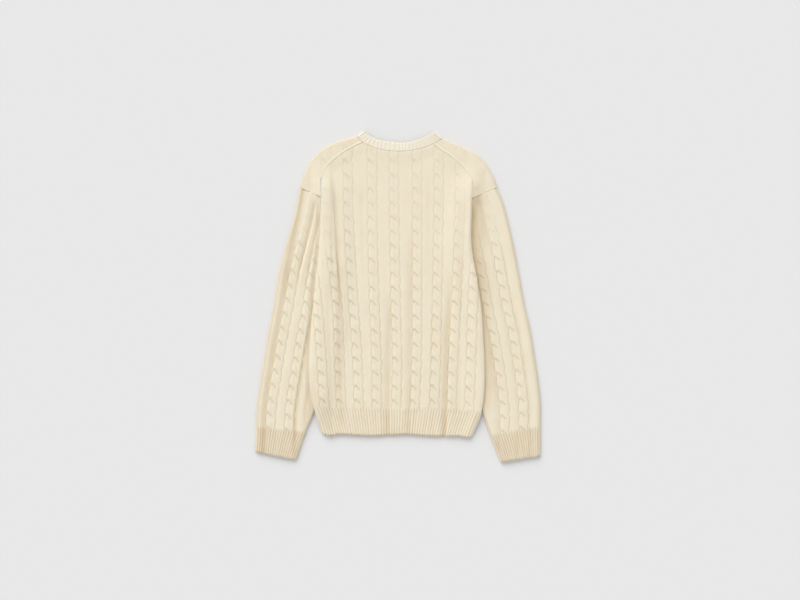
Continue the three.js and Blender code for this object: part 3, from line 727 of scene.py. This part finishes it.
def sleeve_sheet(sleeve, shares, across_count, arc_count, below_count, inset, relief_on):
    """Points of one face of a sleeve, as rings over the top and back below, with their painted shade
    values and stitch places.
    """
    left, right, width = sleeve_plan(sleeve, shares)
    width = width[:, None]
    reach = SLEEVE_EDGE - inset
    arc = np.linspace(0, np.pi / 2, arc_count, endpoint=False)[None, :]
    top_share = np.linspace(0, 1, across_count)[None, :]
    low_share = np.linspace(1, 0, below_count)[None, :]
    top_place = mix(SLEEVE_EDGE, width - SLEEVE_EDGE, top_share)
    low_place = mix(SLEEVE_EDGE, width - SLEEVE_EDGE, low_share)

    def at(place):
        share = (place / width)[..., None]
        return mix(left[:, None, :], right[:, None, :], share)

    def plain(place):
        spot = at(place)
        covered = sleeve_covered(sleeve, spot[..., 0], spot[..., 1])
        return mix(SLEEVE_HEIGHT, COVERED_HEIGHT, covered), covered, spot

    height, covered, spot = plain(top_place)
    relief = np.zeros(height.shape)
    folds = shade = relief
    own_place = top_place
    if relief_on:
        middles = [inward if sleeve["side"] < 0 else width - inward for inward in sleeve["cables"]]
        distances = np.stack([top_place - middle for middle in middles])
        nearest = np.argmin(np.abs(distances), axis=0)
        from_cable = np.take_along_axis(distances, nearest[None], axis=0)[0]
        middle_y = ((left + right) / 2)[:, None, 1]
        knit, own_place, shade_tone = knit_height(from_cable, -middle_y + 0 * from_cable)
        inward = top_place if sleeve["side"] < 0 else width - top_place
        down = ARMHOLE_TOP[1] - middle_y + 0 * inward
        depth = mix(0.3, 1.0, smooth_step((down - 60) / 110))
        folds = gather_rise(sleeve, inward, down)
        folds = np.where(folds < 0, DEEPEST * np.tanh(folds / DEEPEST), folds)
        if sleeve["side"] > 0:
            upper = smooth_step((spot[..., 1] - 60) / 80)
            depth = depth * (1 - 0.5 * upper * dip_and_shadow_at(spot[..., 0], spot[..., 1]))
        knit = knit * depth
        rib = rib_height(top_share + 0 * top_place, CUFF_RIBS) - 0.4
        into_rib = smooth_step((CUFF_SHARE + 0.008 - shares[:, None]) / 0.016)
        from_edge = np.minimum(top_place - SLEEVE_EDGE, width - SLEEVE_EDGE - top_place)
        shown = (1 - covered) * smooth_step(from_edge / 3)
        relief = mix(knit, rib, into_rib) * shown
        x, y = spot[..., 0], spot[..., 1]
        shade_tone = 1 - (1 - shade_tone) * depth
        # Painted shade: darker cuff ribs and darker dips of the gathers.
        shade = mix(shade_tone, rib - RIB_PAINTED_SHADE, into_rib) + sleeve["shade"] * np.minimum(folds, 0)
        if sleeve["side"] > 0:
            # Painted shadow of the body's right side on the sleeve beside it.
            deep = mix(0.6, 1.0, smooth_step((y + 60) / 160)) * smooth_step((y - HEM_Y) / 90)
            shade = shade - TROUGH_SHADE * dip_and_shadow_at(x, y) * deep
        folds = folds * shown + sleeve_raised(sleeve, x, y)
    rings = []
    ends = ((height[:, :1], SLEEVE_EDGE, -1), (height[:, -1:], width - SLEEVE_EDGE, 1))
    arcs = []
    for top, joint, outward in ends:
        middle = top / 2
        half = top / 2 - inset
        angles = arc if outward < 0 else arc[:, ::-1]
        place = joint + outward * reach * np.cos(angles)
        arcs.append((place + 0 * width, middle + half * np.sin(angles)))
    for place, z in (arcs[0], (top_place, height - inset + relief + folds), arcs[1]):
        rings.append(np.concatenate([at(place), (z + 0 * place)[..., None]], axis=-1))
    below = np.full(low_place.shape, inset)
    rings.append(np.concatenate([at(low_place), below[..., None]], axis=-1))
    points = np.concatenate(rings, axis=1)
    # The rounded edges of the sleeve get painted shade.
    arc_painted_shade = np.zeros((len(shares), arc_count))
    if relief_on:
        arc_painted_shade = arc_painted_shade + 0.3
    shade_all = np.concatenate([arc_painted_shade, shade, arc_painted_shade, 0 * low_place + 0.5], axis=1)
    own_all = np.concatenate([arcs[0][0], own_place, arcs[1][0], low_place], axis=1)
    return points, shade_all, np.stack([own_all, points[..., 1]], axis=-1)


def make_sleeve(name, sleeve, material):
    cloth = Cloth()
    cuff_rows = np.linspace(0, CUFF_SHARE, 16)
    knit_rows = np.linspace(CUFF_SHARE, 1, 212)[1:]
    shares = np.concatenate([cuff_rows, knit_rows])
    # relief here holds the shade values of the outside, painted shade included, not heights.
    outside, relief, places = sleeve_sheet(sleeve, shares, 110, 7, 12, 0.0, True)
    from_end = np.minimum(shares, 1.5 * (1 - shares)) * 590
    outside[..., 2] -= (roll_at(from_end)[:, None] * (outside[..., 2] > 3))
    outer = cloth.add_grid(outside, places, relief, ring=True)
    inner_rows = np.linspace(0, 1, 60)
    inside, inner_relief, inner_places = sleeve_sheet(
        sleeve, inner_rows, 28, 3, 6, SLEEVE_WALL, False)
    inner = cloth.add_grid(inside, inner_places, inner_relief, flip=True, ring=True)
    cloth.join_even(inner[0], outer[0])
    cloth.join_even(outer[-1], inner[-1])
    return cloth.piece(name, material)


def shoulder_columns(rows, count, side):
    """Fold and seam points of the front's wrap over one shoulder, and the way it faces out."""
    along = ordered(rows)
    order = np.linspace(0, len(rows["fold_x"]) - 1, count)
    fold_x, fold_y, seam_x, seam_y = (
        curve_through(along, "order", name)(order) for name in rows)
    fold = np.stack([fold_x, fold_y], axis=-1)
    seam = np.stack([seam_x, seam_y], axis=-1)
    outward = fold - seam
    outward /= np.linalg.norm(outward, axis=1, keepdims=True)
    tangent = np.gradient(seam, axis=0)
    tangent /= np.linalg.norm(tangent, axis=1, keepdims=True)
    aside = np.stack([tangent[:, 1], -tangent[:, 0]], axis=-1) * side
    tucked = SEAM_ASIDE - SIDE_TUCK * smooth_step(ARM_ROWS + 1 - order)[:, None]
    return fold - outward * FOLD_RADIUS, seam + aside * tucked, outward


def make_front(material):
    """The front: a sheet on the floor with the two wraps over the shoulders."""
    cloth = Cloth()
    floor_count = 46
    wrap_count = 90
    left_wrap = shoulder_columns(LEFT_SHOULDER, wrap_count, -1)
    right_wrap = shoulder_columns(RIGHT_SHOULDER, wrap_count, 1)
    neck_x = NECK_BELOW["seam_x"][1:-1]
    neck_y = NECK_BELOW["seam_y"][1:-1] - REST_GAP
    neck = np.stack([neck_x, neck_y], axis=-1)
    arm = round(ARM_ROWS / (len(LEFT_SHOULDER["fold_x"]) - 1) * (wrap_count - 1))
    tops = np.concatenate([left_wrap[0], neck, right_wrap[0][::-1]])
    body_columns = len(tops) - 2 * arm
    floor_y = np.linspace(HEM_Y, ARMHOLE_Y, floor_count)
    side_share = np.linspace(0, 1, body_columns)[None, :]
    edge_left = body_left(floor_y)[:, None] + REST_GAP
    edge_right = body_right(floor_y)[:, None] - REST_GAP
    floor_x = mix(edge_left, edge_right, side_share)
    body_y = floor_y[:, None] + 0 * floor_x
    base = np.concatenate([
        np.stack([left_wrap[0][:arm, 0], armhole_line_at(left_wrap[0][:arm, 0])], axis=-1),
        np.stack([floor_x[-1], body_y[-1]], axis=-1),
        np.stack([right_wrap[0][:arm, 0], armhole_line_at(right_wrap[0][:arm, 0])], axis=-1)[::-1],
    ])
    upper_share = np.linspace(0, 1, 22)[:, None]
    upper = mix(base[None], tops[None], upper_share[..., None])

    def floor_points(x, y, raised):
        z = lift_at(x, y, FRONT_SLOPE) + raised
        return np.stack([x, y, z], axis=-1)

    faces = {}
    for face, raised in (("out", 0.0), ("in", WALL)):
        lower_grid = floor_points(floor_x, body_y, raised)
        upper_grid = floor_points(upper[..., 0], upper[..., 1], raised)
        faces[face] = (lower_grid, upper_grid)
    wraps = {}
    for wrap_name, (fold, seam, outward) in (("left", left_wrap), ("right", right_wrap)):
        wraps[wrap_name] = wrap_faces(fold, seam, outward)
    lower_ids = {}
    upper_ids = {}
    wrap_ids = {}
    for face in ("out", "in"):
        flip = face == "out"
        lower, upper_grid = faces[face]
        lower_ids[face] = cloth.add_grid(waved(lower[:-1]), lower[:-1, :, :2], 0.5, flip=flip)
        upper_ids[face] = cloth.add_grid(upper_grid, upper_grid[..., :2], 0.5, flip=flip)
        seam_row = upper_ids[face][0][arm:len(tops) - arm]
        rows = [lower_ids[face][-1], seam_row]
        quads = np.stack([rows[0][:-1], rows[0][1:], rows[1][1:], rows[1][:-1]], axis=-1)
        cloth.quads.append(quads[:, ::-1] if flip else quads)
        wrap_ids[face] = {}
        for wrap_name in ("left", "right"):
            points, relief = wraps[wrap_name][face]
            if wrap_name == "right":
                points, relief = points[:, ::-1], relief[:, ::-1]
            ids = cloth.add_grid(points, points[..., :2], relief, flip=flip)
            top_row = upper_ids[face][-1]
            below = top_row[:wrap_count] if wrap_name == "left" else top_row[-wrap_count:]
            quads = np.stack([below[:-1], below[1:], ids[0][1:], ids[0][:-1]], axis=-1)
            cloth.quads.append(quads[:, ::-1] if flip else quads)
            wrap_ids[face][wrap_name] = ids
    columns = len(tops)
    outline = []
    for face in ("out", "in"):
        left_ids = wrap_ids[face]["left"]
        right_ids = wrap_ids[face]["right"]
        lower = lower_ids[face]
        top = upper_ids[face]
        outline.append(np.concatenate([
            lower[0],
            lower[1:, -1],
            top[0, columns - arm - 1:],
            top[1:, -1],
            right_ids[:, -1],
            right_ids[-1, ::-1][1:],
            right_ids[::-1, 0][1:],
            top[-1, wrap_count - 1:columns - wrap_count + 1][::-1],
            left_ids[:, -1],
            left_ids[-1, ::-1][1:],
            left_ids[::-1, 0][1:],
            top[::-1, 0],
            top[0, 1:arm + 1],
            lower[::-1, 0],
        ]))
    out_line, in_line = outline
    for start in range(len(out_line) - 1):
        end = start + 1
        cloth.triangles.append((out_line[start], out_line[end], in_line[end]))
        cloth.triangles.append((out_line[start], in_line[end], in_line[start]))
    return cloth.piece("front_panel", material)


def wrap_faces(fold, seam, outward):
    """Outside and inside of the cloth that goes round a shoulder fold and back to the seam."""
    angles = np.radians(np.linspace(-75, 90, 12))[:, None]
    shares = np.append(np.linspace(0, 1, 20)[1:-1], [0.985, 1])[:, None]
    middle = lift_at(fold[:, 0], fold[:, 1], FRONT_SLOPE)[None, :] + FOLD_RADIUS
    flat = mix(fold[None], seam[None], shares[..., None])
    level = lift_at(flat[..., 0], flat[..., 1], BACK_SLOPE) + FOLD_HEIGHT
    to_seam = (1 - shares) * np.linalg.norm(seam - fold, axis=1)[None, :]
    sewn = sewn_at(seam[:, 0])[None, :]
    roll = roll_at(to_seam) * sewn
    welt = np.exp(-(((to_seam - 3.4) / 2.2) ** 2)) * mix(0.1, 1.0, sewn)
    ridge = SEAM_RIDGE * welt - roll
    dip = dip_and_shadow_at(flat[..., 0], flat[..., 1]) * smooth_step((258 - flat[..., 1]) / 30)
    cable = nearest_cable(flat[..., 0], flat[..., 1])
    knit, _, shade_tone = knit_height(cable, -flat[..., 1])
    fade = smooth_step((to_seam - 4) / 8) * 0.45
    faces = {}
    for face, radius, raised in (("out", FOLD_RADIUS, ridge + knit * fade), ("in", FOLD_HOLLOW, None)):
        around = fold[None] + outward[None] * (radius * np.cos(angles))[..., None]
        around_z = middle + radius * np.sin(angles)
        bent = np.concatenate([around, around_z[..., None]], axis=-1)
        top = (level + raised if raised is not None else level - WALL) - TROUGH_DIP * dip
        straight = np.concatenate([flat, top[..., None]], axis=-1)
        points = np.concatenate([bent, straight], axis=0)
        shade_tones = np.full(points.shape[:2], 0.5)
        if raised is not None:
            # Painted light on the flap: a painted highlight on the seam welt, painted shade on the rolled
            # edge and along the faint cable lines, and the body's painted shadow in the dip.
            lines = (1 - shade_tone) * fade * 0.7
            shade_tones[len(angles):] = 0.9 + 0.2 * welt - 0.5 * roll - 0.6 * dip - lines
        faces[face] = (points, shade_tones)
    return faces


def neck_rings():
    """Stations round the neckband: seam side, edge side and the way its outside faces."""
    top = ordered(NECK_TOP)
    below = ordered(NECK_BELOW)
    samples = np.linspace(0, len(NECK_TOP["seam_x"]) - 1, 14 * NECK_RIBS + 1)
    seam_x, edge_x, edge_y = (
        curve_through(top, "order", name)(samples) for name in ("seam_x", "edge_x", "edge_y"))
    top_z = WALL / 2 + FOLD_RADIUS + FOLD_HOLLOW
    flat = np.zeros((len(samples), 3))
    top_seam = flat + np.stack([seam_x, neck_seam_at(seam_x), top_z + 0 * seam_x], axis=-1)
    top_edge = flat + np.stack([edge_x, edge_y, top_z + 0 * seam_x], axis=-1)
    low_order = np.linspace(len(NECK_BELOW["seam_x"]) - 1, 0, 200)
    low = [curve_through(below, "order", name)(low_order) for name in NECK_BELOW]
    low_z = np.full(len(low_order), WALL / 2)
    low_seam = np.stack([low[0], low[1], low_z], axis=-1)
    low_edge = np.stack([low[2], low[3], low_z], axis=-1)
    tips = []
    for place, side in ((-1, 1), (0, -1)):
        seam = np.array([NECK_TOP["seam_x"][place], NECK_TOP["seam_y"][place]])
        edge = np.array([NECK_TOP["edge_x"][place], NECK_TOP["edge_y"][place]])
        across = (edge - seam) / np.linalg.norm(edge - seam)
        outward = np.array([across[1], -across[0], 0]) * side
        angles = np.radians(np.linspace(0, 180, 26)[1:-1])[:, None]
        if side < 0:
            angles = angles[::-1]
        facing = outward[None] * np.sin(angles) + np.array([0, 0, 1.0]) * np.cos(angles)
        shift = facing * (FOLD_HOLLOW + WALL / 2)
        centre = np.array([0, 0, FOLD_RADIUS])
        tips.append((np.append(seam, 0) + centre + shift, np.append(edge, 0) + centre + shift, facing))
    up = np.array([[0, 0, 1.0]])
    seam = np.concatenate([top_seam, tips[0][0], low_seam, tips[1][0]])
    edge = np.concatenate([top_edge, tips[0][1], low_edge, tips[1][1]])
    facing = np.concatenate([
        np.repeat(up, len(samples), axis=0), tips[0][2],
        np.repeat(-up, len(low_order), axis=0), tips[1][2],
    ])
    rib = np.concatenate([
        rib_height(np.linspace(0, 1, len(samples)), NECK_RIBS) * neck_rib_level(len(samples)),
        rib_height(np.linspace(0, 1, len(tips[0][0])), 2),
        0 * low_order,
        rib_height(np.linspace(0, 1, len(tips[1][0])), 2),
    ])
    # Painted shade on the folded tips of the neckband.
    tip_painted_shade = np.full(len(tips[0][0]), -0.9)
    shade_tone = np.concatenate([0 * samples, tip_painted_shade, 0 * low_order, tip_painted_shade])
    return seam, edge, facing, rib, shade_tone


def neck_rib_level(count):
    """The ribs of the neckband are stretched flat toward its right end."""
    return mix(0.6, 0.15, smooth_step((np.linspace(0, 1, count) - 0.5) / 0.3))


def make_neckband(material):
    cloth = Cloth()
    seam, edge, facing, rib, shade_tone = neck_rings()
    shares = np.linspace(0, 1, 15)
    width = np.linalg.norm(edge - seam, axis=1)
    around = np.concatenate([[0], np.cumsum(np.linalg.norm(np.diff(seam, axis=0), axis=1))])
    columns = []
    shade_rows = []
    for share in shares:
        to_edge = np.minimum(share, 1 - share) * width
        relief = rib * smooth_step(to_edge / 2.5) - roll_at(to_edge)
        raise_by = (WALL / 2 + relief)[:, None]
        columns.append(mix(seam, edge, share) + facing * raise_by)
        # The colour follows the ribs and the rolled edges: painted shade in the grooves and along the
        # edges.
        shade_rows.append(0.35 + relief + shade_tone)
    for share in (1.0, 0.66, 0.33, 0.0):
        columns.append(mix(seam, edge, share) - facing * (WALL / 2))
        shade_rows.append(np.full(len(seam), 0.5))
    points = np.stack(columns, axis=0)
    points[..., 2] = np.maximum(points[..., 2], 0)
    shade_tones = np.stack(shade_rows, axis=0)
    across = np.concatenate([shares, [1, 0.66, 0.33, 0]]) * 20
    places = np.stack([
        np.broadcast_to(around[None, :], shade_tones.shape),
        np.broadcast_to(across[:, None], shade_tones.shape),
    ], axis=-1)
    ids = cloth.add_grid(points, places, shade_tones, ring=True)
    quads = np.stack([ids[-1][:-1], ids[-1][1:], ids[0][1:], ids[0][:-1]], axis=-1)
    cloth.quads.append(quads)
    return cloth.piece("neck_rib", material)


def new_material(name):
    material = bpy.data.materials.new(name)
    material.use_nodes = True
    nodes = material.node_tree.nodes
    nodes.clear()
    return material, nodes, material.node_tree.links


def knit_material(name, light, painted_shade_colour, stitch_bump):
    """Soft matt wool: uneven cream, with painted shade darker and warmer in the grooves, with stitches and
    fibres as bump.
    """
    material, nodes, links = new_material(name)
    output = nodes.new("ShaderNodeOutputMaterial")
    shader = nodes.new("ShaderNodeBsdfPrincipled")
    links.new(shader.outputs["BSDF"], output.inputs["Surface"])
    shader.inputs["Roughness"].default_value = 0.92
    shader.inputs["Specular IOR Level"].default_value = 0.15
    shader.inputs["Subsurface Weight"].default_value = 0.4
    shader.inputs["Subsurface Radius"].default_value = (1.0, 0.68, 0.48)
    shader.inputs["Subsurface Scale"].default_value = 0.0024
    shader.inputs["Sheen Weight"].default_value = 0.25
    shader.inputs["Sheen Roughness"].default_value = 0.55

    def math(operation, first, second=None):
        node = nodes.new("ShaderNodeMath")
        node.operation = operation
        for socket, value in zip(node.inputs, (first, second)):
            if value is None:
                continue
            if isinstance(value, (int, float)):
                socket.default_value = value
            else:
                links.new(value, socket)
        return node.outputs[0]

    # Stitches: two slanted legs in each place of the stitch map
    stitches = nodes.new("ShaderNodeUVMap")
    stitches.uv_map = "stitches"
    split = nodes.new("ShaderNodeSeparateXYZ")
    links.new(stitches.outputs["UV"], split.inputs["Vector"])
    across = math("FRACT", split.outputs["X"])
    leg = math("ABSOLUTE", math("SUBTRACT", across, 0.5))
    slanted = math("ADD", split.outputs["Y"], math("MULTIPLY", leg, 1.1))
    yarn = math("SINE", math("MULTIPLY", slanted, 6.2832))
    gap = math("SINE", math("MULTIPLY", leg, 6.2832))
    stitch = math("MULTIPLY", math("ADD", math("MULTIPLY", yarn, 0.5), 0.5), gap)

    # Fibres and small unevenness of the yarn
    place = nodes.new("ShaderNodeTexCoord")
    fibre = nodes.new("ShaderNodeTexNoise")
    fibre.inputs["Scale"].default_value = 900.0
    fibre.inputs["Detail"].default_value = 3.0
    links.new(place.outputs["Object"], fibre.inputs["Vector"])
    uneven = nodes.new("ShaderNodeTexNoise")
    uneven.inputs["Scale"].default_value = 42.0
    uneven.inputs["Detail"].default_value = 4.0
    links.new(place.outputs["Object"], uneven.inputs["Vector"])

    height = math("ADD", math("MULTIPLY", stitch, 1.0), math("MULTIPLY", fibre.outputs["Fac"], 0.7))
    bump = nodes.new("ShaderNodeBump")
    bump.inputs["Strength"].default_value = 0.5
    bump.inputs["Distance"].default_value = stitch_bump * MM
    links.new(height, bump.inputs["Height"])
    links.new(bump.outputs["Normal"], shader.inputs["Normal"])

    # Colour: painted shade from the depth attribute, darker and warmer in the grooves, dips and between
    # the stitches, with a little cloudiness
    depth = nodes.new("ShaderNodeAttribute")
    depth.attribute_name = "depth"
    groove = nodes.new("ShaderNodeMapRange")
    groove.inputs["From Min"].default_value = -0.7
    groove.inputs["From Max"].default_value = 1.0
    links.new(depth.outputs["Fac"], groove.inputs["Value"])
    clouds = math("MULTIPLY", math("SUBTRACT", uneven.outputs["Fac"], 0.5), 0.35)
    share = math("ADD", groove.outputs["Result"], clouds)
    # Painted shade between the stitch legs, where the stitch pattern is low.
    stitch_painted_shade = math("MULTIPLY", math("SUBTRACT", stitch, 0.4), 0.12)
    ramp = nodes.new("ShaderNodeValToRGB")
    ramp.color_ramp.elements[0].position = 0.0
    ramp.color_ramp.elements[0].color = (*painted_shade_colour, 1)
    ramp.color_ramp.elements[1].position = 1.0
    ramp.color_ramp.elements[1].color = (*light, 1)
    links.new(math("ADD", share, stitch_painted_shade), ramp.inputs["Fac"])
    links.new(ramp.outputs["Color"], shader.inputs["Base Color"])
    return material


def plain_material(name, colour, roughness):
    """A smooth matt floor."""
    material, nodes, links = new_material(name)
    output = nodes.new("ShaderNodeOutputMaterial")
    shader = nodes.new("ShaderNodeBsdfPrincipled")
    shader.inputs["Roughness"].default_value = roughness
    shader.inputs["Specular IOR Level"].default_value = 0.1
    shader.inputs["Base Color"].default_value = (*colour, 1)
    links.new(shader.outputs["BSDF"], output.inputs["Surface"])
    return material


def make_floor():
    size = 6.0
    mesh = bpy.data.meshes.new("floor")
    corners = [(-size, -size, 0), (size, -size, 0), (size, size, 0), (-size, size, 0)]
    mesh.from_pydata(corners, [], [(0, 1, 2, 3)])
    mesh.materials.append(plain_material("floor_paper", (0.80, 0.80, 0.80), 0.9))
    floor = bpy.data.objects.new("floor", mesh)
    bpy.context.scene.collection.objects.link(floor)
    return floor


def aim(obj, target):
    direction = Vector(target) - obj.location
    obj.rotation_euler = direction.to_track_quat("-Z", "Y").to_euler()


def make_camera():
    """Straight down, as the photograph was taken: 800 pixels span 1760 mm of the floor."""
    data = bpy.data.cameras.new("camera")
    data.sensor_width = 36.0
    distance = 3.0
    span = 1.76
    data.lens = data.sensor_width * distance / span
    camera = bpy.data.objects.new("camera", data)
    camera.location = (0.0044, -0.0088, distance)
    bpy.context.scene.collection.objects.link(camera)
    bpy.context.scene.camera = camera
    return camera


def make_lights():
    world = bpy.data.worlds.new("studio")
    world.use_nodes = True
    background = world.node_tree.nodes["Background"]
    background.inputs["Color"].default_value = (1.0, 1.0, 1.0, 1)
    background.inputs["Strength"].default_value = 0.70
    bpy.context.scene.world = world
    sun_data = bpy.data.lights.new("window", "SUN")
    sun_data.energy = 1.74
    sun_data.angle = 0.8
    sun = bpy.data.objects.new("window", sun_data)
    sun.location = (-0.65, 1.5, 1.12)
    aim(sun, (0, 0, 0))
    bpy.context.scene.collection.objects.link(sun)


def make_sweater():
    # The darker colour of each knit is its painted shade colour, for grooves, dips and the shadow beside
    # the body.
    cream = knit_material("cream_cable_knit", (0.88, 0.80, 0.635), (0.665, 0.535, 0.35), 0.55)
    rib = knit_material("cream_rib_knit", (0.905, 0.85, 0.715), (0.72, 0.625, 0.48), 0.45)
    pieces = {
        "back": (make_back(cream), "body_knit", (0.41, 0.64), 0.262),
        "front": (make_front(cream), "body_knit", (0.43, 0.66), 0.275),
        "sleeve_left": (make_sleeve("left_sleeve", LEFT_SLEEVE, cream), "sleeve_knit",
                        (0.26, 0.60), 0.139),
        "sleeve_right": (make_sleeve("right_sleeve", RIGHT_SLEEVE, cream), "sleeve_knit",
                         (0.26, 0.60), 0.145),
        "neckband": (make_neckband(rib), "rib_knit", (0.47, 0.02), None),
    }
    for node, (piece, slot, flat, area) in pieces.items():
        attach(piece, "root")
        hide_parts(node)


make_camera()
make_lights()
make_floor()
make_sweater()
bpy.context.scene.view_settings.view_transform = "Standard"
